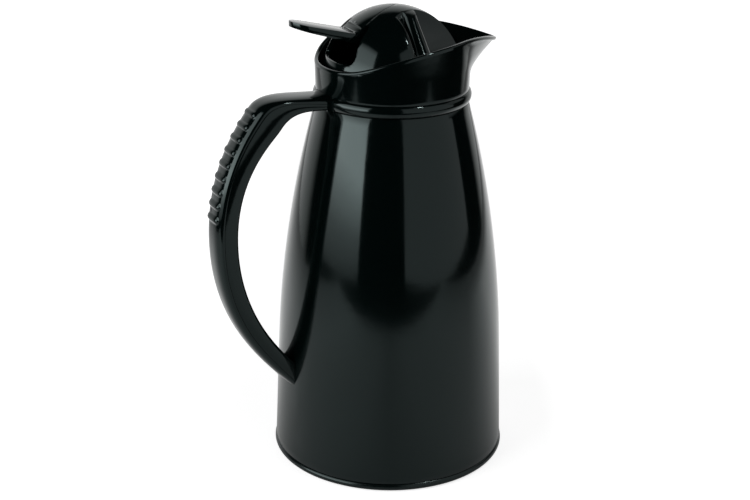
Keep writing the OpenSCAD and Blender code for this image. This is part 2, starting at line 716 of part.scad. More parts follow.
module lid_dome() {
    color(lid_black) difference() {
        union() {
            difference() {
                union() {
                    dome_solid(0);
                    intersection() {
                        translate([0, 0, dome_z]) sphere(r = dome_r - 0.05);
                        cheek_ribs();
                        translate([-far / 2, -far / 2, ledge_z - 1]) cube(far);
                    }
                }
                dome_solid(dome_wall);
            }
            intersection() {
                dome_solid(dome_wall / 2);
                union() {
                    for (a = boss_angles) rotate([0, 0, a])
                        translate([boss_circle_r, 0, disc_z + disc_t + seat_gap])
                        cylinder(r = boss_r, h = boss_h, $fn = small_fn);
                    for (s = [-1, 1]) translate([pivot[0], s * (lug_in + lug_t / 2), pivot[1]]) {
                        rotate([90, 0, 0]) cylinder(r = knuckle_r, h = lug_t, center = true, $fn = small_fn);
                        translate([-knuckle_r, -lug_t / 2, 0]) cube([2 * knuckle_r, lug_t, 20]);
                    }
                }
            }
        }
        dome_window();
        translate([0, 0, slot_z]) linear_extrude(far) lever_plan(move_gap, far / 2);
        translate([pivot[0], 0, pivot[1]]) rotate([90, 0, 0])
            cylinder(r = pin_r + run_gap, h = 2 * (lug_in + lug_t) + 0.2, center = true, $fn = small_fn);
        for (a = boss_angles) rotate([0, 0, a]) translate([boss_circle_r, 0, disc_z])
            cylinder(r = lid_screw_r, h = lid_screw_len, $fn = small_fn);
        translate([relief_x, -relief_w / 2, dome_low - 1]) cube([far, relief_w, disc_z - dome_low + 1]);
    }
}

module lid_screws() {
    color(steel_grey) for (a = boss_angles) rotate([0, 0, a])
        translate([boss_circle_r, 0, disc_z - lid_screw_head_h]) {
            cylinder(r = lid_screw_head_r, h = lid_screw_head_h, $fn = small_fn);
            cylinder(r = lid_screw_r - run_gap, h = lid_screw_len, $fn = small_fn);
        }
}

module lever_pin() {
    color(steel_grey) translate([pivot[0], 0, pivot[1]]) rotate([90, 0, 0])
        cylinder(r = pin_r, h = 2 * (lug_in + lug_t), center = true, $fn = small_fn);
}

// Side view of the lever's tab and leaf, from the tab's end to the leaf's point over the axis
module lever_side() {
    centre = [valley_x, valley_z + valley_r];
    valley = [for (i = [0 : 8]) let (a = -tab_rise + (85 + tab_rise) * i / 8)
        centre + valley_r * [sin(a), -cos(a)]];
    end = valley[0] + (valley[0][0] + tab_reach + 1) * [-1, tan(tab_rise)];
    polygon(concat([end], valley,
        [[valley_x + valley_r, dome_top + 1], [2, dome_top + 1], [2, dome_top - 5],
         [-8, dome_top - 7], [-17, valley_z - 2], [valley_x, valley_z - root_t], end - [0, tab_t]]));
}

module thumb_lever() {
    color(lid_black) difference() {
        union() {
            intersection() {
                rotate([90, 0, 0]) linear_extrude(4 * lever_w, center = true) lever_side();
                linear_extrude(far * 2) lever_plan(0, tab_reach);
                union() {
                    translate([0, 0, dome_z]) sphere(r = dome_r);
                    translate([-far, -far / 2, 0]) cube([far + valley_x, far, far * 2]);
                }
            }
            intersection() {
                rotate([90, 0, 0]) linear_extrude(2 * arm_w, center = true)
                    polygon([[-20, pivot[1]], [-20, dome_top - 5.6], [-1, dome_top - 3.6],
                        [pivot[0] + 1, pivot[1] + knuckle_r], [pivot[0], pivot[1] - knuckle_r],
                        [foot_w, touch_z + foot_rise], [foot_flat, touch_z],
                        [-foot_flat, touch_z], [-foot_w, touch_z + foot_rise]]);
                translate([0, 0, dome_z]) sphere(r = dome_r - dome_wall - move_gap);
            }
            translate([pivot[0], 0, pivot[1]]) rotate([90, 0, 0])
                cylinder(r = knuckle_r, h = 2 * arm_w, center = true, $fn = small_fn);
        }
        translate([pivot[0], 0, pivot[1]]) rotate([90, 0, 0])
            cylinder(r = pin_r + run_gap, h = far, center = true, $fn = small_fn);
    }
}

module valve_stem() {
    low = valve_top - valve_t - stem_over;
    color(steel_grey) difference() {
        translate([0, 0, low]) cylinder(r = stem_r, h = stem_top - low);
        translate([0, 0, stem_top - 1]) difference() {
            cylinder(r = stem_r + 1, h = 2);
            translate([0, 0, -eps]) cylinder(r1 = stem_r, r2 = stem_r - 1, h = 1 + 2 * eps);
        }
    }
}

// Cap on the stem that the spring pushes up against
module stem_cap() {
    color(valve_white) difference() {
        translate([0, 0, cap_low]) union() {
            cylinder(r = spring_r + 1.6, h = cap_t);
            translate([0, 0, -3]) cylinder(r = spring_r - wire_r - 1.2, h = 3.5);
        }
        cylinder(r = stem_r + run_gap, h = far * 2);
    }
}

module valve_disc() {
    color(valve_white) difference() {
        union() {
            translate([0, 0, valve_top - valve_t]) cylinder(r1 = valve_r - 3, r2 = valve_r, h = valve_t);
            translate([0, 0, valve_top - 0.5]) cylinder(r = valve_hub_r, h = valve_hub_h + 0.5);
        }
        cylinder(r = stem_r + run_gap, h = far * 2);
    }
}

module valve_gasket() {
    color(rubber_grey) difference() {
        translate([0, 0, valve_top]) cylinder(r = valve_r, h = valve_gasket_t);
        cylinder(r = valve_hub_r + seat_gap, h = far * 2);
    }
}

// Coil of the valve spring, one tube along a helix with level ends
spring_rings = 8;
spring_sides = 6;
spring_rise = spring_high - spring_low - 2 * wire_r;
function spring_height(k) = spring_low + wire_r + spring_rise * min(1, max(0, (k * spring_turns - 0.75)
    / (spring_turns - 1.5)));
module valve_spring() {
    count = spring_turns * spring_rings;
    color(steel_grey) skin([for (i = [0 : count]) let (k = i / count, a = 360 * spring_turns * k)
        [for (j = [0 : spring_sides - 1]) let (b = -360 * j / spring_sides)
            [(spring_r + wire_r * cos(b)) * cos(a), (spring_r + wire_r * cos(b)) * sin(a),
             spring_height(k) + wire_r * sin(b)]]]);
}

outer_shell();
base_cap();
base_gasket();
support_pad();
flask_outer();
flask_inner();
flask_spacers();
flask_seal();
pouring_collar();
handle_shell();
handle_insert();
handle_screw();
stopper_gasket();
stopper_body();
lid_dome();
lid_screws();
lever_pin();
thumb_lever();
valve_stem();
stem_cap();
valve_disc();
valve_gasket();
valve_spring();
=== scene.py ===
import json
import math

import bpy
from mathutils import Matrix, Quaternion, Vector


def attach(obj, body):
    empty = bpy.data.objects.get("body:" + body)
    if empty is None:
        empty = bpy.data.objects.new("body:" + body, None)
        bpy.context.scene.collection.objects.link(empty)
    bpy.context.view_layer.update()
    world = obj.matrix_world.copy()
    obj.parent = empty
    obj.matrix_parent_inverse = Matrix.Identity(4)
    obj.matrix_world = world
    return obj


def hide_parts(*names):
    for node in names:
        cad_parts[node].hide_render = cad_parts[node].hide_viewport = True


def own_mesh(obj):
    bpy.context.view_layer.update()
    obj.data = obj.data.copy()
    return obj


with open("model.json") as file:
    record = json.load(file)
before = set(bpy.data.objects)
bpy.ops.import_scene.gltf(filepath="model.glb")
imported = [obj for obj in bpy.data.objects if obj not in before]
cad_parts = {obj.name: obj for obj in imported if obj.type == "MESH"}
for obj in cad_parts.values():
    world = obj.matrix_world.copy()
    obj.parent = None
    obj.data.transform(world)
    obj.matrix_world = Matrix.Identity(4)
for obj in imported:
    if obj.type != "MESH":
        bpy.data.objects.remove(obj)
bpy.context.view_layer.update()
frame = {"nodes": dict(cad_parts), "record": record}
nodes = frame["nodes"]

MM = 0.001


# Shader sockets as Python values

class Wire:
    def __init__(self, shader, socket):
        self.shader = shader
        self.socket = socket

    def math(self, operation, other=None, third=None):
        inputs = [v for v in (self, other, third) if v is not None]
        return self.shader.node("ShaderNodeMath", {"operation": operation}, inputs)

    def __add__(self, other):
        return self.math("ADD", other)

    def __radd__(self, other):
        return self.math("ADD", other)

    def __sub__(self, other):
        return self.math("SUBTRACT", other)

    def __rsub__(self, other):
        return self.shader.node("ShaderNodeMath", {"operation": "SUBTRACT"}, [other, self])

    def __mul__(self, other):
        return self.math("MULTIPLY", other)

    def __truediv__(self, other):
        return self.math("DIVIDE", other)

    def clamped(self, low=0.0, high=1.0):
        return self.math("MAXIMUM", low).math("MINIMUM", high)


class Shader:
    def __init__(self, name):
        self.material = bpy.data.materials.new(name)
        self.material.use_nodes = True
        self.tree = self.material.node_tree
        self.surface = self.tree.nodes["Principled BSDF"]

    def set(self, node, key, value):
        if isinstance(value, Wire):
            self.tree.links.new(value.socket, node.inputs[key])
        else:
            node.inputs[key].default_value = value

    def node(self, kind, settings, inputs, output=0):
        made = self.tree.nodes.new(kind)
        for key, value in settings.items():
            setattr(made, key, value)
        pairs = inputs.items() if isinstance(inputs, dict) else enumerate(inputs)
        for key, value in pairs:
            self.set(made, key, value)
        return Wire(self, made.outputs[output])

    def place(self, scale=(1, 1, 1)):
        spot = self.node("ShaderNodeTexCoord", {}, {}, "Object")
        return self.node("ShaderNodeMapping", {}, {"Vector": spot, "Scale": scale})

    def height(self):
        spot = self.node("ShaderNodeTexCoord", {}, {}, "Object")
        return self.node("ShaderNodeSeparateXYZ", {}, {"Vector": spot}, "Z")

    def noise(self, size, detail=3.0, rough=0.5, stretch=(1, 1, 1)):
        scale = 1.0 / size
        return self.node("ShaderNodeTexNoise", {}, {"Vector": self.place(stretch), "Scale": scale,
                         "Detail": detail, "Roughness": rough}, "Fac")

    def ramp(self, value, stops):
        made = self.tree.nodes.new("ShaderNodeValToRGB")
        elements = made.color_ramp.elements
        while len(elements) < len(stops):
            elements.new(0.5)
        for element, (at, colour) in zip(elements, stops):
            element.position = at
            element.color = (*colour, 1.0)
        self.set(made, "Fac", value)
        return Wire(self, made.outputs["Color"])

    def blend(self, factor, first, second):
        return self.node("ShaderNodeMix", {"data_type": "RGBA"},
                         {"Factor": factor, 6: first, 7: second}, 2)

    def bump(self, height, depth, strength=1.0):
        return self.node("ShaderNodeBump", {}, {"Height": height, "Distance": depth,
                         "Strength": strength}, "Normal")

    def base(self, **values):
        for key, value in values.items():
            self.set(self.surface, key.replace("_", " "), value)


# Finishes

def moulded_black(name, tint, roughness, satin_below=0.0):
    s = Shader(name)
    cloud = s.noise(0.05, 2.0)
    fine = s.noise(0.004, 3.0, 0.6)
    peel = s.noise(0.006, 1.0)
    smears = s.noise(0.035, 4.0, 0.65, (1, 1, 0.3))
    rough = roughness + (cloud - 0.5) * 0.05 + (smears - 0.5).clamped(0, 1) * 0.12 + (fine - 0.5) * 0.02
    if satin_below > 0:
        low = ((satin_below - s.height()) / satin_below).clamped()
        rough = rough + low * 0.14
    light = tuple(c * 1.35 for c in tint)
    s.base(Base_Color=s.blend(cloud, (*tint, 1), (*light, 1)), Roughness=rough.clamped(0.03, 0.9),
           Specular_IOR_Level=0.5, Specular_Tint=(0.8, 1.0, 0.99, 1),
           Normal=s.bump(peel + fine * 0.15, 0.00003, 0.5))
    return s.material


def silicone(name, colour):
    s = Shader(name)
    fine = s.noise(0.0015, 3.0, 0.6)
    cloud = s.noise(0.02, 2.0)
    dark = tuple(c * 0.8 for c in colour)
    s.base(Base_Color=s.blend(cloud, (*dark, 1), (*colour, 1)), Roughness=0.55 + (fine - 0.5) * 0.15,
           Normal=s.bump(fine, 0.00002, 0.4))
    return s.material


def plain_metal(name, colour, roughness):
    s = Shader(name)
    grain = s.noise(0.001, 3.0, 0.6, (1, 1, 0.1))
    cloud = s.noise(0.01, 2.0)
    dark = tuple(c * 0.85 for c in colour)
    s.base(Base_Color=s.blend(cloud, (*dark, 1), (*colour, 1)), Metallic=1.0,
           Roughness=(roughness + (grain - 0.5) * 0.15).clamped(0.05, 1.0),
           Normal=s.bump(grain, 0.00001, 0.3))
    return s.material


def silvered(name):
    s = Shader(name)
    cloud = s.noise(0.03, 3.0)
    ripple = s.noise(0.02, 1.0)
    s.base(Base_Color=s.blend(cloud, (0.72, 0.74, 0.76, 1), (0.86, 0.88, 0.9, 1)), Metallic=1.0,
           Roughness=0.06 + cloud * 0.06, Coat_Weight=1.0, Coat_Roughness=0.02,
           Normal=s.bump(ripple, 0.0002, 0.3))
    return s.material


def nylon(name):
    s = Shader(name)
    cloud = s.noise(0.01, 3.0)
    fine = s.noise(0.0012, 2.0)
    s.base(Base_Color=s.blend(cloud, (0.68, 0.68, 0.64, 1), (0.78, 0.78, 0.75, 1)),
           Roughness=0.42 + (fine - 0.5) * 0.1, Subsurface_Weight=0.1, Subsurface_Radius=(0.002, 0.002, 0.002),
           Normal=s.bump(fine, 0.00002, 0.4))
    return s.material


FINISH = {
    "body_plastic": moulded_black("body_plastic", (0.0006, 0.0024, 0.0023), 0.09, 0.14),
    "lid_plastic": moulded_black("lid_plastic", (0.0007, 0.0025, 0.0024), 0.09),
    "rubber": silicone("rubber", (0.12, 0.12, 0.12)),
    "silvered_glass": silvered("silvered_glass"),
    "steel": plain_metal("steel", (0.62, 0.63, 0.65), 0.28),
    "valve_plastic": nylon("valve_plastic"),
}

for sub in frame["record"]["subparts"]:
    mesh = nodes[sub["node"]].data
    mesh.materials.clear()
    mesh.materials.append(FINISH[sub["material_slot"]])


# Modelling steps

def activate(obj):
    if bpy.context.mode != "OBJECT":
        bpy.ops.object.mode_set(mode="OBJECT")
    bpy.ops.object.select_all(action="DESELECT")
    obj.select_set(True)
    bpy.context.view_layer.objects.active = obj


def modified(obj, kind, **settings):
    activate(obj)
    made = obj.modifiers.new(kind.lower(), kind)
    for key, value in settings.items():
        setattr(made, key, value)
    bpy.ops.object.modifier_apply(modifier=made.name)
    return obj


def combined(obj, tool, operation):
    modified(obj, "BOOLEAN", object=tool, operation=operation, solver="EXACT")
    bpy.data.objects.remove(tool)
    return obj


def rounded(obj, width, angle=35, segments=2):
    return modified(obj, "BEVEL", width=width * MM, segments=segments, limit_method="ANGLE",
                    angle_limit=math.radians(angle), miter_outer="MITER_ARC", use_clamp_overlap=True)


def cleaned(obj, flat=0.3):
    activate(obj)
    bpy.ops.object.mode_set(mode="EDIT")
    bpy.ops.mesh.select_all(action="SELECT")
    bpy.ops.mesh.remove_doubles(threshold=0.000002)
    bpy.ops.mesh.dissolve_limited(angle_limit=math.radians(flat))
    bpy.ops.mesh.select_all(action="SELECT")
    bpy.ops.mesh.normals_make_consistent(inside=False)
    bpy.ops.object.mode_set(mode="OBJECT")
    return obj


def from_cad(node):
    obj = bpy.data.objects.new(node + "_fine", nodes[node].data.copy())
    bpy.context.collection.objects.link(obj)
    return cleaned(obj)


def settled(obj, name, body, slot, replaced=(), angle=32):
    """Last step of a piece: smooth shading, finish, and its place in the model."""
    activate(obj)
    bpy.ops.object.shade_smooth_by_angle(angle=math.radians(angle))
    obj.name = name
    obj.data.name = name
    obj.data.materials.clear()
    obj.data.materials.append(FINISH[slot])
    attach(obj, body)
    if replaced:
        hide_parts(*replaced)
    return obj


def turned_profile(profile, steps=160):
    """A closed profile of radius and height, drawn as a ring of points and spun about Z."""
    bpy.ops.mesh.primitive_circle_add(vertices=len(profile), radius=MM, location=(0, 0, 0))
    obj = bpy.context.object
    for vertex, (r, z) in zip(obj.data.vertices, profile):
        vertex.co = (r * MM, 0, z * MM)
    activate(obj)
    bpy.ops.object.mode_set(mode="EDIT")
    bpy.ops.mesh.select_all(action="SELECT")
    bpy.ops.mesh.spin(steps=steps, angle=2 * math.pi, center=(0, 0, 0), axis=(0, 0, 1))
    bpy.ops.mesh.select_all(action="SELECT")
    bpy.ops.mesh.remove_doubles(threshold=0.000005)
    bpy.ops.mesh.dissolve_degenerate(threshold=0.000001)
    bpy.ops.mesh.select_all(action="SELECT")
    bpy.ops.mesh.normals_make_consistent(inside=False)
    bpy.ops.object.mode_set(mode="OBJECT")
    return obj


def lofted(loops, closed=False):
    """A skin over loops of points in mm that all have the same count."""
    count = len(loops[0])
    points = [tuple(c * MM for c in p) for loop in loops for p in loop]
    rows = len(loops) if closed else len(loops) - 1
    faces = []
    for j in range(rows):
        low, high = j * count, (j + 1) % len(loops) * count
        for i in range(count):
            k = (i + 1) % count
            faces.append((low + i, low + k, high + k, high + i))
    if not closed:
        faces.append(tuple(range(count))[::-1])
        faces.append(tuple(range((len(loops) - 1) * count, len(loops) * count)))
    mesh = bpy.data.meshes.new("loft")
    mesh.from_pydata(points, [], faces)
    mesh.update()
    obj = bpy.data.objects.new("loft", mesh)
    bpy.context.collection.objects.link(obj)
    activate(obj)
    bpy.ops.object.mode_set(mode="EDIT")
    bpy.ops.mesh.select_all(action="SELECT")
    bpy.ops.mesh.normals_make_consistent(inside=False)
    bpy.ops.object.mode_set(mode="OBJECT")
    return obj


def sines(degrees):
    return math.cos(math.radians(degrees)), math.sin(math.radians(degrees))


# Sizes in mm. Base: radius, wall, floor, hollow underneath, ribs; foot ring and bead; pedestal and spigot

BASE_R, BASE_WALL, BASE_FLOOR, BASE_RECESS, BASE_RIB_H = 70.0, 2.4, 2.4, 1.6, 4.0
FOOT_RING_R, FOOT_RING_EDGE, BEAD_R, BEAD_Z, BEAD_END = 57.0, 1.2, 2.6, 2.5, math.radians(75)
PEDESTAL_R, PEDESTAL_TOP, SPIGOT_H = 24.0, 10.0, 9.0
# Body: radius and height of the seam, top of the straight cone and its lean; shoulder, ring and neck
BODY_R, SEAM_Z, CONE_Z, LEAN = 69.3, 4.8, 70.0, math.radians(2.2)
SHOULDER_R, SHOULDER_Z, RING_H, WALL = 43.8, 217.7, 7.3, 2.6
RING_TOP = SHOULDER_Z + RING_H
NECK_R, NECK_WALL = SHOULDER_R - 2.5, 2.4
# Collar: rim as an arc with a dip at the back, rising nose, throat, and the skirt that plugs into the neck
COLLAR_R, COLLAR_FLARE, COLLAR_WALL = 44.0, 0.4, 2.2
RIM_X, RIM_Z, RIM_R, DIP_X, DIP_R = 21.0, 255.3, 130.0, -33.0, 36.0
NOSE_Z, NOSE_BEND, NOSE_RISE, NOSE_TIP = 222.0, 16.0, math.radians(35), 3.2
THROAT_R, MOUTH_R, SEAL_TOP, DRAIN_Z, BOWL_Z = 25.0, 21.0, 205.6, 222.0, 229.0
SKIRT_R, SKIRT_INNER_R = 38.6, 36.3
# Quick thread: grooves in the collar and lugs on the stopper
LEAD, THREAD_STARTS = 36.0, (20, 140, 260)
GROOVE_LOW, GROOVE_HIGH, GROOVE_T, GROOVE_DEPTH = 213.6, 224.5, 3.0, 1.2
LUG_LOW, LUG_HIGH, LUG_T, LUG_DEPTH = 214.2, 218.2, 2.2, 0.8
RIM_BEAD_R, RIM_BEAD_RISE = 1.35, 0.3

cone_top = BODY_R - (CONE_Z - SEAM_Z) * math.tan(LEAN)
waist_dr, waist_dz = cone_top - SHOULDER_R, SHOULDER_Z - CONE_Z
WAIST_R = (waist_dr ** 2 + waist_dz ** 2) / (2 * (waist_dr * math.cos(LEAN) - waist_dz * math.sin(LEAN)))


def wall_r(z):
    if z < CONE_Z:
        return BODY_R - (z - SEAM_Z) * math.tan(LEAN)
    across = cone_top - WAIST_R * math.cos(LEAN)
    up = z - CONE_Z + WAIST_R * math.sin(LEAN)
    return across + math.sqrt(WAIST_R ** 2 - up ** 2)


# Body

def make_body():
    count = 48
    outer = [(wall_r(z), z) for z in (SEAM_Z + (SHOULDER_Z - SEAM_Z) * i / count for i in range(count + 1))]
    top = SHOULDER_Z - 5
    inner = [(wall_r(z) - WALL, z) for z in (top + (SEAM_Z - top) * i / count for i in range(count + 1))]
    neck = [(NECK_R, SHOULDER_Z), (NECK_R, RING_TOP - 0.4), (NECK_R - NECK_WALL, RING_TOP - 0.4),
            (NECK_R - NECK_WALL, SHOULDER_Z - 3)]
    obj = turned_profile(outer + neck + inner, 192)
    rounded(obj, 0.35)
    settled(obj, "body_wall", "carafe", "body_plastic", ("outer_shell",))


# Collar: its plan at each height is a circle drawn out to a rounded nose by straight flanks

NOSE_FADE = [(0, COLLAR_R), (7, 31), (13, 17), (19, 8), (24, NOSE_TIP), (38, NOSE_TIP)]


def along(table, x):
    for (x0, y0), (x1, y1) in zip(table, table[1:]):
        if x <= x1:
            return y0 + (y1 - y0) * max(0.0, x - x0) / (x1 - x0)
    return table[-1][1]


def nose_x(z):
    top_z = NOSE_Z + NOSE_BEND * math.cos(NOSE_RISE)
    if z <= NOSE_Z:
        return COLLAR_R
    if z < top_z:
        return COLLAR_R + NOSE_BEND * (1 - math.sqrt(1 - ((z - NOSE_Z) / NOSE_BEND) ** 2))
    return COLLAR_R + NOSE_BEND * (1 - math.sin(NOSE_RISE)) + (z - top_z) / math.tan(NOSE_RISE)


def plan_point(z, inset, part, t):
    """A point of the plan on the near side: part 0 the nose, 1 the flank, 2 the round back; t from 0 to 1."""
    r = COLLAR_R + COLLAR_FLARE * min(1, max(0, (z - RING_TOP) / 15)) - inset
    nr = max(along(NOSE_FADE, z - NOSE_Z) - inset, 1.0)
    nx = nose_x(z) - inset * 1.1 - nr
    g = math.acos(min(1.0, max(-1.0, (r - nr) / nx)))
    if part == 0:
        return nx + nr * math.cos(g * t), nr * math.sin(g * t)
    if part == 1:
        m = nr + (r - nr) * t
        return nx * (1 - t) + m * math.cos(g), m * math.sin(g)
    a = g + (math.pi - g) * t
    return r * math.cos(a), r * math.sin(a)


HALF_PLAN = ([(0, i / 12) for i in range(12)] + [(1, i / 14) for i in range(14)]
             + [(2, i / 44) for i in range(45)])


def rim_height(x):
    dip_z = RIM_Z - RIM_R + math.sqrt(RIM_R ** 2 - (DIP_X - RIM_X) ** 2)
    turn = math.asin((RIM_X - DIP_X) / RIM_R)
    dip_cx, dip_cz = DIP_X - DIP_R * math.sin(turn), dip_z + DIP_R * math.cos(turn)
    if x >= DIP_X:
        return RIM_Z - RIM_R + math.sqrt(RIM_R ** 2 - (x - RIM_X) ** 2)
    if x <= dip_cx:
        return dip_cz - DIP_R
    return dip_cz - math.sqrt(DIP_R ** 2 - (x - dip_cx) ** 2)


def wall_loop(share, inset, low):
    """A loop at a share of the way from a height up to the rim."""
    half = []
    for part, t in HALF_PLAN:
        z = low + share * 20
        for _ in range(12):
            x, y = plan_point(z, inset, part, t)
            z = low + share * (rim_height(x) - low)
        half.append((x, y, z))
    return half + [(x, -y, z) for x, y, z in half[-2:0:-1]]


def circle_loop(radius, z):
    half = []
    for part, t in HALF_PLAN:
        x, y = plan_point(RING_TOP, 0, part, t)
        a = math.atan2(y, x)
        half.append((radius * math.cos(a), radius * math.sin(a), z))
    return half + [(x, -y, z) for x, y, z in half[-2:0:-1]]


def between(first, second, t, up=0.0):
    return [tuple(a + (b - a) * t + (up if k == 2 else 0) for k, (a, b) in enumerate(zip(p, q)))
            for p, q in zip(first, second)]


def thread_band(radius_in, radius_out, z_from, z_to, thick, start, tapered=False):
    """A strip of a coarse thread, rising with the angle by the lead of the lid's quick thread."""
    sweep = (z_to - z_from) / LEAD * 360
    steps = max(8, int(sweep / 3))
    loops = []
    for i in range(steps + 1):
        a = math.radians(start + sweep * i / steps)
        z = z_from + (z_to - z_from) * i / steps
        taper = min(1.0, (min(i, steps - i) + 0.35) / 2.5) if tapered else 1.0
        out = radius_in + (radius_out - radius_in) * taper
        half = thick / 2
        loops.append([(r * math.cos(a), r * math.sin(a), z + dz) for r, dz in
                      ((radius_in, -half), (out, -half + 0.5), (out, half - 0.5), (radius_in, half))])
    return lofted(loops)


def rim_bead(radius):
    """The thickened edge that follows the collar's rim."""
    path = [Vector(p) - Vector((0, 0, radius - RIM_BEAD_RISE)) for p in wall_loop(1, radius, RING_TOP)]
    loops = []
    for i, here in enumerate(path):
        ahead = (path[(i + 1) % len(path)] - path[i - 1]).normalized()
        out = ahead.cross(Vector((0, 0, 1))).normalized()
        up = out.cross(ahead)
        loops.append([tuple(here + (out * c + up * s) * radius) for c, s in (sines(30 * k) for k in range(12))])
    return lofted(loops, closed=True)


def make_collar():
    wall = [wall_loop(i / 16, 0, RING_TOP) for i in range(16)]
    edge_out, edge_in = wall_loop(1, 0, RING_TOP), wall_loop(1, COLLAR_WALL, RING_TOP)
    lip = []
    for i in range(7):
        across, up = sines(180 * i / 6)
        lip.append(between(edge_out, edge_in, 0.5 - across / 2, -COLLAR_WALL / 2 + up * COLLAR_WALL / 2))
    inner = [wall_loop(1 - i / 14, COLLAR_WALL, BOWL_Z) for i in range(1, 15)]
    bowl = COLLAR_R - COLLAR_WALL
    turned_part = [(bowl - 0.4, BOWL_Z - 0.6), (THROAT_R + 0.6, DRAIN_Z + 0.2), (THROAT_R, DRAIN_Z - 0.6),
                   (THROAT_R, SEAL_TOP + 3), (MOUTH_R + 0.6, SEAL_TOP + 3), (MOUTH_R + 0.6, SEAL_TOP + 0.1),
                   (THROAT_R + 2.4, SEAL_TOP + 0.1), (THROAT_R + 2.4, DRAIN_Z - 4),
                   (SKIRT_INNER_R, DRAIN_Z - 2), (SKIRT_INNER_R, SHOULDER_Z - 10), (SKIRT_R, SHOULDER_Z - 10),
                   (SKIRT_R, RING_TOP), (COLLAR_R - 0.6, RING_TOP)]
    obj = lofted(wall + lip + inner + [circle_loop(r, z) for r, z in turned_part], closed=True)
    for start in THREAD_STARTS:
        groove = thread_band(THROAT_R - 0.8, THROAT_R + GROOVE_DEPTH, GROOVE_LOW, GROOVE_HIGH, GROOVE_T, start - 3)
        combined(obj, groove, "DIFFERENCE")
    combined(obj, rim_bead(RIM_BEAD_R), "UNION")
    rounded(obj, 0.3, 50)
    settled(obj, "collar", "carafe", "body_plastic", ("pouring_collar",))


# Handle: the lines of its back and its inner face, in the XZ plane

ARM_X = -COLLAR_R + 4
BACK_KNEE, INNER_KNEE = (-86.7, 221.5), (-73.3, 210.7)
BOW_Z, BOW_REACH, BOW_DEPTH, FOOT_Z, FOOT_DEPTH = 148.0, 112.8, 12.7, 51.4, 15.0
HANDLE_WIDTH = [(0, 22.0), (1, 20.0), (2, 18.6), (3, 16.6)]
CROWN, HANDLE_WALL, SEAT = 4.2, 2.2, 0.2
RIB_COUNT, RIB_PITCH, RIB_R, RIB_PROUD, RIB_LEN = 9, 7.9, 2.4, 1.2, 10.0

BACK_LINES = [
    [(ARM_X, RING_TOP + 1.2), (ARM_X - 22, RING_TOP + 1.2), (BACK_KNEE[0] + 7.5, BACK_KNEE[1] + 9.4), BACK_KNEE],
    [BACK_KNEE, (BACK_KNEE[0] - 12.6, BACK_KNEE[1] - 15.8), (-BOW_REACH, BOW_Z + 34), (-BOW_REACH, BOW_Z)],
    [(-BOW_REACH, BOW_Z), (-BOW_REACH, BOW_Z - 51), (-wall_r(FOOT_Z) - 18, FOOT_Z + 18.9),
     (-wall_r(FOOT_Z) + 4, FOOT_Z - 4)]]
INNER_BOW, INNER_FOOT = BOW_DEPTH - BOW_REACH, FOOT_Z + FOOT_DEPTH
INNER_LINES = [
    [(ARM_X, SHOULDER_Z + 0.7), (ARM_X - 14, SHOULDER_Z + 0.7), (INNER_KNEE[0] + 8.1, INNER_KNEE[1] + 11.4),
     INNER_KNEE],
    [INNER_KNEE, (INNER_KNEE[0] - 4.6, INNER_KNEE[1] - 6.5), (INNER_BOW, BOW_Z + 40), (INNER_BOW, BOW_Z)],
    [(INNER_BOW, BOW_Z), (INNER_BOW, BOW_Z - 43), (-wall_r(INNER_FOOT) - 9.3, INNER_FOOT + 10.8),
     (-wall_r(INNER_FOOT) + 4.4, INNER_FOOT - 3.5)]]


def on_lines(lines, g):
    k = min(2, int(g))
    t = g - k
    p = lines[k]
    weights = ((1 - t) ** 3, 3 * (1 - t) ** 2 * t, 3 * (1 - t) * t * t, t ** 3)
    return tuple(sum(w * q[c] for w, q in zip(weights, p)) for c in (0, 1))


def frame_at(g):
    """Inner point, unit vector to the back, depth and half width of the handle's section at g."""
    a, b = on_lines(INNER_LINES, g), on_lines(BACK_LINES, g)
    depth = math.hypot(b[0] - a[0], b[1] - a[1])
    across = ((b[0] - a[0]) / depth, (b[1] - a[1]) / depth)
    half = (along(HANDLE_WIDTH, g - 0.15) + 2 * along(HANDLE_WIDTH, g) + along(HANDLE_WIDTH, g + 0.15)) / 8
    return a, across, depth, half


def spot(section, v, u):
    a, across, _, _ = section
    return a[0] + across[0] * u, v, a[1] + across[1] * u


def back_length():
    table, total, last = [], 0.0, on_lines(BACK_LINES, 1.0)
    for i in range(111):
        g = 1 + 0.01 * i
        here = on_lines(BACK_LINES, g)
        total += math.hypot(here[0] - last[0], here[1] - last[1])
        last = here
        table.append((g, total))
    return table


LENGTHS = back_length()
FIRST_RIB = along(LENGTHS, 1.03)


def rib_height(g, side):
    """How far the back's surface stands out at a place, side measured along the crown's curve."""
    if not 1.0 <= g <= 2.1:
        return 0.0
    s = along(LENGTHS, g) - FIRST_RIB
    k = min(RIB_COUNT - 1, max(0, round(s / RIB_PITCH)))
    beyond = max(0.0, abs(side) - RIB_LEN / 2)
    d = math.hypot(s - k * RIB_PITCH, beyond)
    bump = math.sqrt(max(0.0, RIB_R ** 2 - d * d)) - (RIB_R - RIB_PROUD)
    soft = 0.35
    return 0.5 * (bump + math.sqrt(bump * bump + soft * soft)) - 0.02 if d < RIB_R + 1 else 0.0


def evenly(curve, count):
    """Points at equal steps along a curve, each with its length along it."""
    lengths = [0.0]
    for p, q in zip(curve, curve[1:]):
        lengths.append(lengths[-1] + math.hypot(q[0] - p[0], q[1] - p[1]))
    places = [lengths[-1] * i / count for i in range(count + 1)]
    across = [along(list(zip(lengths, (p[0] for p in curve))), s) for s in places]
    up = [along(list(zip(lengths, (p[1] for p in curve))), s) for s in places]
    return list(zip(across, up)), places


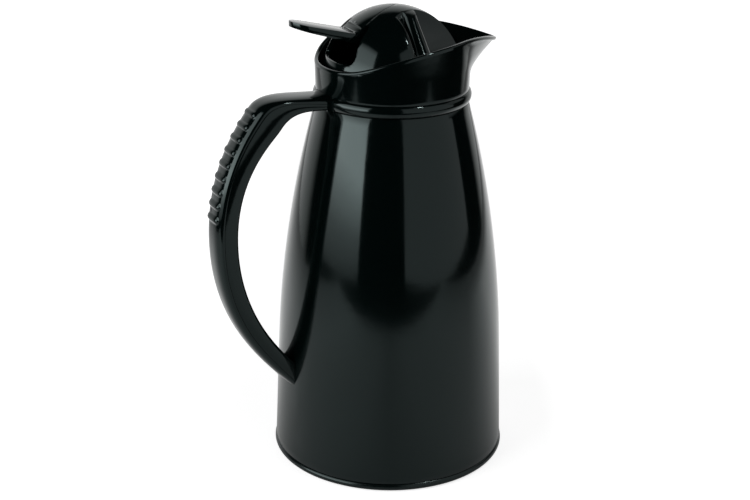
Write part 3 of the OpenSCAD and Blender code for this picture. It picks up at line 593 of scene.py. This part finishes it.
def crown_section(g, inset, ribs):
    section = frame_at(g)
    depth, half = section[2], section[3] - inset
    high, base = CROWN - inset, depth - CROWN
    curve = []
    for i in range(180, -1, -2):
        c, s = sines(i)
        v = half * math.copysign(abs(c) ** (2 / 2.6), c)
        u = base + high * abs(s) ** (2 / 2.6)
        curve.append((v, u))
    curve, lengths = evenly(curve, 56 if ribs else 26)
    if ribs:
        middle = len(curve) // 2
        raised = []
        for i, (v, u) in enumerate(curve):
            p, q = curve[max(0, i - 1)], curve[min(len(curve) - 1, i + 1)]
            size = math.hypot(q[0] - p[0], q[1] - p[1]) or 1
            lift = rib_height(g, lengths[i] - lengths[middle])
            raised.append((v - (q[1] - p[1]) / size * lift, u + (q[0] - p[0]) / size * lift))
        curve = raised
    low = base - SEAT if inset else base
    return [spot(section, -half, low)] + [spot(section, v, u) for v, u in curve] + [spot(section, half, low)]


def stations():
    plain = [i / 24 for i in range(24)]
    ribbed = [1 + 0.0052 * i for i in range(173)]
    rest = [1.9 + i / 24 for i in range(27)]
    return plain + ribbed + [g for g in rest if g > 1.9] + [3.0]


def body_space(gap):
    count = 30
    side = [(wall_r(z) + gap, z) for z in (SEAM_Z + (SHOULDER_Z - SEAM_Z) * i / count for i in range(count + 1))]
    return turned_profile([(0, SEAM_Z)] + side + [(0, SHOULDER_Z)], 128)


def make_ring():
    mid = SHOULDER_Z + RING_H / 2
    edge = []
    for i in range(19):
        c, s = sines(-90 + 10 * i)
        edge.append((SHOULDER_R - 1.3 + 3 * abs(c) ** 0.8, mid + RING_H / 2 * s))
    inside = NECK_R + SEAT
    return turned_profile([(inside, SHOULDER_Z)] + edge + [(inside, RING_TOP)], 160)


def make_handle_back():
    outer = [crown_section(g, 0, True) for g in stations()]
    inner = [crown_section(g, HANDLE_WALL, False) for g in stations()]
    obj = lofted([a + b[::-1] for a, b in zip(outer, inner)])
    foot = []
    for i in range(9):
        section = frame_at(2.84 + 0.02 * i)
        w, top, low = section[3] - HANDLE_WALL + 0.3, section[2] - HANDLE_WALL + 0.4, HANDLE_WALL + SEAT
        foot.append([spot(section, w, top), spot(section, w, low), spot(section, -w, low),
                     spot(section, -w, top)])
    combined(obj, lofted(foot), "UNION")
    side, out, fillet = HANDLE_WIDTH[0][1] / 2, SHOULDER_R + 1.6, 3.0
    x = -math.sqrt((out + fillet) ** 2 - (side + fillet) ** 2)
    for sign in (-1, 1):
        plan = [(x, side - 1), (-NECK_R, side - 1), (-NECK_R, side + fillet / 2),
                (x * out / (out + fillet), (side + fillet) * out / (out + fillet))]
        start = math.degrees(math.atan2(-(side + fillet), -x))
        for i in range(9):
            c, s = sines(start + (-90 - start) * i / 8)
            plan.append((x + fillet * c, side + fillet + fillet * s))
        combined(obj, lofted([[(px, sign * py, z) for px, py in plan]
                              for z in (SHOULDER_Z + 0.5, SHOULDER_Z + RING_H - 0.4)]), "UNION")
    combined(obj, make_ring(), "UNION")
    sleeve = turned_profile([(0, SHOULDER_Z - 20), (NECK_R + SEAT, SHOULDER_Z - 20), (NECK_R + SEAT, RING_TOP),
                             (COLLAR_R + SEAT, RING_TOP), (COLLAR_R + SEAT, 260), (0, 260)], 160)
    combined(obj, sleeve, "DIFFERENCE")
    combined(obj, body_space(0.1), "DIFFERENCE")
    rounded(obj, 0.25, 62)
    settled(obj, "handle_back", "carafe", "body_plastic", ("handle_shell",), 50)


def insert_section(g, inset, gap):
    section = frame_at(g)
    w, top, r = section[3] - inset, section[2] - CROWN - gap, 1.6
    corner = [(w - r + r * sines(a)[0], inset + r - r * sines(a)[1]) for a in (0, 22, 45, 68, 90)]
    half = [(w, top)] + corner
    return [spot(section, v, u) for v, u in half] + [spot(section, -v, u) for v, u in half[::-1]]


def make_handle_inner():
    places = [i / 30 for i in range(91)]
    loops = [insert_section(g, 0, SEAT) + insert_section(g, HANDLE_WALL, SEAT)[::-1] for g in places]
    obj = lofted(loops)
    sleeve = turned_profile([(0, 150), (SHOULDER_R + 2, 150), (SHOULDER_R + 2, 260), (0, 260)], 128)
    combined(obj, sleeve, "DIFFERENCE")
    combined(obj, body_space(0.1), "DIFFERENCE")
    rounded(obj, 0.3, 40)
    settled(obj, "handle_inner", "carafe", "lid_plastic", ("handle_insert",), 38)


# Pieces that keep the CAD's form and get rounded edges

def make_base():
    spigot, spigot_top = wall_r(SEAM_Z + SPIGOT_H) - WALL - SEAT, SEAM_Z + SPIGOT_H
    floor_top = BASE_RECESS + BASE_FLOOR
    bead_h = (SEAM_Z - BEAD_Z) / math.sin(BEAD_END)
    bead = []
    for i in range(13):
        a = BEAD_END * (i / 6 - 1)
        bead.append((BASE_R - BEAD_R + BEAD_R * math.cos(a), BEAD_Z + bead_h * math.sin(a)))
    under = [(0, BASE_RECESS), (FOOT_RING_R, BASE_RECESS), (FOOT_RING_R + FOOT_RING_EDGE, 0), (BASE_R - 2, 0)]
    over = [(spigot + 1.4, SEAM_Z), (spigot, SEAM_Z), (spigot, spigot_top), (spigot - BASE_WALL, spigot_top),
            (spigot - BASE_WALL, floor_top), (0, floor_top)]
    obj = turned_profile(under + bead + over, 192)
    rooted = floor_top - 1
    inside = PEDESTAL_R - BASE_WALL
    pedestal = [(inside, rooted), (PEDESTAL_R, rooted), (PEDESTAL_R, PEDESTAL_TOP), (inside, PEDESTAL_TOP)]
    combined(obj, turned_profile(pedestal, 96), "UNION")
    start, end = PEDESTAL_R - BASE_WALL / 2, spigot - BASE_WALL / 2
    for k in range(12):
        c, s = sines(30 * k)
        plan = [(start, -1), (end, -1), (end, 1), (start, 1)]
        rib = lofted([[(x * c - y * s, x * s + y * c, z) for x, y in plan]
                      for z in (rooted, floor_top + BASE_RIB_H)])
        combined(obj, rib, "UNION")
    rounded(obj, 0.3, 34)
    settled(obj, "base_foot", "carafe", "body_plastic", ("base_cap",))


def make_lid():
    dome = rounded(from_cad("lid_dome"), 0.15, 36)
    settled(dome, "dome", "lid", "lid_plastic", ("lid_dome",))
    lever = rounded(from_cad("thumb_lever"), 0.3, 48)
    settled(lever, "lever_tab", "lever", "lid_plastic", ("thumb_lever",))


def make_stopper():
    obj = from_cad("stopper_body")
    for start in THREAD_STARTS:
        lug = thread_band(THROAT_R - 1.4, THROAT_R + LUG_DEPTH, LUG_LOW, LUG_HIGH, LUG_T, start, tapered=True)
        combined(obj, lug, "UNION")
    rounded(obj, 0.2, 40)
    settled(obj, "stopper", "lid", "lid_plastic", ("stopper_body",))


def make_spring():
    """The valve's coil: a wire bent along a helix with level ends."""
    low, high, radius, wire, turns = 236.6, 247.8, 7.0, 0.5, 5
    rings = 28 * turns
    loops = []
    for i in range(rings + 1):
        k = i / rings
        a = 2 * math.pi * turns * k
        z = low + wire + (high - low - 2 * wire) * min(1, max(0, (k * turns - 0.75) / (turns - 1.5)))
        loops.append([((radius + wire * math.cos(b)) * math.cos(a), (radius + wire * math.cos(b)) * math.sin(a),
                       z + wire * math.sin(b)) for b in (j * math.pi / 5 for j in range(10))])
    obj = settled(lofted(loops), "valve_coil", "lid", "steel", ("valve_spring",), 50)
    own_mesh(obj)


KEPT = ["base_gasket", "support_pad", "flask_outer", "flask_inner", "flask_spacers", "flask_seal", "handle_screw",
        "stopper_gasket", "lid_screws", "lever_pin", "valve_stem", "stem_cap", "valve_disc", "valve_gasket"]


def smooth_kept_nodes():
    for name in KEPT:
        obj = nodes[name]
        weld = obj.modifiers.new("weld", "WELD")
        weld.merge_threshold = 0.000002
        activate(obj)
        for polygon in obj.data.polygons:
            polygon.use_smooth = True
        split = obj.modifiers.new("sharp", "EDGE_SPLIT")
        split.split_angle = math.radians(32)


make_body()
make_collar()
make_handle_back()
make_handle_inner()
make_base()
make_lid()
make_stopper()
make_spring()
smooth_kept_nodes()


# Camera, in the place the photograph was taken from

TURN = math.radians(27.5)
PITCH = math.radians(21.534)
ROLL = math.radians(0.521)
FOCAL_PX = 1496.2
FRAME_PX = 750


def turned(x, y, z):
    return Vector((x * math.cos(TURN) + y * math.sin(TURN), y * math.cos(TURN) - x * math.sin(TURN), z))


def add_camera():
    data = bpy.data.cameras.new("camera")
    data.sensor_width = 36.0
    data.lens = FOCAL_PX / FRAME_PX * data.sensor_width
    data.clip_start = 0.05
    data.clip_end = 30.0
    camera = bpy.data.objects.new("camera", data)
    bpy.context.collection.objects.link(camera)
    camera.location = turned(-0.009, -0.829, 0.4511)
    look = turned(0, math.cos(PITCH), -math.sin(PITCH))
    camera.rotation_mode = "QUATERNION"
    camera.rotation_quaternion = look.to_track_quat("-Z", "Y") @ Quaternion((0, 0, 1), ROLL)
    bpy.context.scene.camera = camera
    bpy.context.scene.view_settings.view_transform = "Standard"


add_camera()




# Floor, surroundings and lamps

def sheet(name, corners):
    """A flat sheet between four corners, given in turn around it."""
    bpy.ops.mesh.primitive_plane_add(size=1, location=(0, 0, 0))
    obj = bpy.context.object
    obj.name = name
    around = sorted(obj.data.vertices, key=lambda v: (v.co.y, v.co.x * (1 if v.co.y < 0 else -1)))
    for vertex, corner in zip(around, corners):
        vertex.co = turned(*corner)
    return obj


def add_floor():
    half, front, back, low = 0.62, -0.45, 1.9, -0.0002
    floor = sheet("floor", [(-half, front, low), (half, front, low), (half, back, low), (-half, back, low)])
    s = Shader("floor_paper")
    spot = s.node("ShaderNodeTexCoord", {}, {}, "Object")
    side = s.node("ShaderNodeVectorMath", {"operation": "DOT_PRODUCT"}, {0: spot, 1: turned(1, 0, 0)}, "Value")
    away = s.node("ShaderNodeVectorMath", {"operation": "DOT_PRODUCT"}, {0: spot, 1: turned(0, 1, 0)}, "Value")
    # Painted reflection: the paper glows for glossy rays only, with painted shade under the body and in front and a
    # painted glow to the sides and behind
    painted_sheen_levels = [(0.0, 0.0), (0.25, 0.26), (0.45, 0.11), (0.5, 0.0), (0.57, 0.1), (0.75, 0.16), (0.88, 0.1), (0.95, 0.0)]
    painted_sheen = s.ramp((side + 0.6) / 1.2, [(at, (v, v, v)) for at, v in painted_sheen_levels])
    near = s.ramp((side + 0.6) / 1.2, [(0.0, (0, 0, 0)), (0.25, (0.75, 0.75, 0.75)), (0.4, (1, 1, 1)),
                                       (0.85, (1, 1, 1)), (0.96, (0, 0, 0))])
    # Painted reflection: this glow is what the body's gloss shows of the paper
    painted_reflection_glow = painted_sheen + ((away + 0.05) / 0.2).clamped() * near * 0.65
    paths = s.tree.nodes.new("ShaderNodeLightPath")
    # The paper as the camera sees it: a white glow, lowered close behind the body as a painted shadow, added to the
    # paper's real shadow
    aside = ((side.math("ABSOLUTE") - 0.1) / 0.06).clamped()
    level = 0.77 + (aside + ((away - 0.6) / 0.2).clamped()).clamped() * 0.25
    # Painted light: the camera sees the glow with its painted shadow, glossy rays see the painted reflection
    painted_glow = Wire(s, paths.outputs["Is Camera Ray"]) * level + Wire(s, paths.outputs["Is Glossy Ray"]) * painted_reflection_glow
    grain = s.noise(0.02, 3.0)
    s.base(Base_Color=s.blend(grain, (0.76, 0.76, 0.76, 1), (0.82, 0.82, 0.82, 1)), Roughness=0.8,
           Specular_IOR_Level=0.0, Emission_Color=painted_glow, Emission_Strength=1.0)
    floor.data.materials.append(s.material)


def add_card(name, azimuth, span, distance, low, high, stops):
    """A glowing card around the object at an azimuth from the camera's direction, positive to its right."""
    c, s = sines(azimuth)
    half = distance * math.tan(math.radians(span / 2))
    card = sheet(name, [(distance * s + c * w, -distance * c + s * w, z)
                        for w, z in ((-half, low), (half, low), (half, high), (-half, high))])
    s = Shader(name)
    peak = max(v for _, v in stops)
    glow = s.ramp((s.height() - low) / (high - low),
                  [((z - low) / (high - low), (v / peak, v / peak, v / peak)) for z, v in stops])
    s.base(Base_Color=(0, 0, 0, 1), Specular_IOR_Level=0.0, Emission_Color=glow, Emission_Strength=peak)
    card.data.materials.append(s.material)
    card.visible_camera = False


def add_world():
    """A dark room with a bright side behind the object, and white where the camera looks at it."""
    world = bpy.data.worlds.new("room")
    bpy.context.scene.world = world
    world.use_nodes = True
    tree = world.node_tree
    coords = tree.nodes.new("ShaderNodeTexCoord")
    facing = tree.nodes.new("ShaderNodeVectorMath")
    facing.operation = "DOT_PRODUCT"
    facing.inputs[1].default_value = turned(-0.17, 0.985, -0.3)
    tree.links.new(coords.outputs["Generated"], facing.inputs[0])
    ramp = tree.nodes.new("ShaderNodeValToRGB")
    ramp.color_ramp.elements[0].position, ramp.color_ramp.elements[1].position = 0.44, 0.58
    ramp.color_ramp.elements[0].color = (0.006, 0.007, 0.007, 1)
    ramp.color_ramp.elements[1].color = (0.52, 0.53, 0.52, 1)
    bright = ramp.color_ramp.elements.new(0.95)
    bright.color = (1, 1, 1, 1)
    tree.links.new(facing.outputs["Value"], ramp.inputs["Fac"])
    room = tree.nodes["Background"]
    tree.links.new(ramp.outputs["Color"], room.inputs["Color"])
    backdrop = tree.nodes.new("ShaderNodeBackground")
    backdrop.inputs["Color"].default_value = (1, 1, 1, 1)
    paths = tree.nodes.new("ShaderNodeLightPath")
    mix = tree.nodes.new("ShaderNodeMixShader")
    tree.links.new(paths.outputs["Is Camera Ray"], mix.inputs[0])
    tree.links.new(room.outputs[0], mix.inputs[1])
    tree.links.new(backdrop.outputs[0], mix.inputs[2])
    tree.links.new(mix.outputs[0], tree.nodes["World Output"].inputs["Surface"])


def add_lamp(name, azimuth, height, distance, size, watts, aim):
    """A lamp at an azimuth from the camera's direction, positive to its right."""
    data = bpy.data.lights.new(name, "AREA")
    data.shape = "RECTANGLE"
    data.size, data.size_y = size
    data.energy = watts
    lamp = bpy.data.objects.new(name, data)
    bpy.context.collection.objects.link(lamp)
    c, s = sines(azimuth)
    lamp.location = turned(distance * s, -distance * c, height)
    lamp.rotation_mode = "QUATERNION"
    lamp.rotation_quaternion = (Vector((0, 0, aim)) - lamp.location).to_track_quat("-Z", "Y")


add_floor()
add_world()
add_card("window_left", -60, 52, 1.6, -0.12, 2.1,
         [(-0.12, 0.4), (0.06, 1.0), (0.2, 2.3), (0.32, 3.8), (0.5, 3.8), (1.0, 1.9), (1.7, 1.5), (2.1, 0.3)])
add_card("wall_right", 55, 80, 1.6, -0.15, 2.4, [(-0.15, 0.47), (1.0, 0.47), (2.4, 0.4)])
add_card("wall_right_high", 108, 36, 1.6, 0.5, 1.7, [(0.5, 0.05), (0.65, 0.34), (1.7, 0.3)])
add_lamp("small_right", 62, 1.5, 0.75, (0.12, 0.12), 2.6, 0.25)
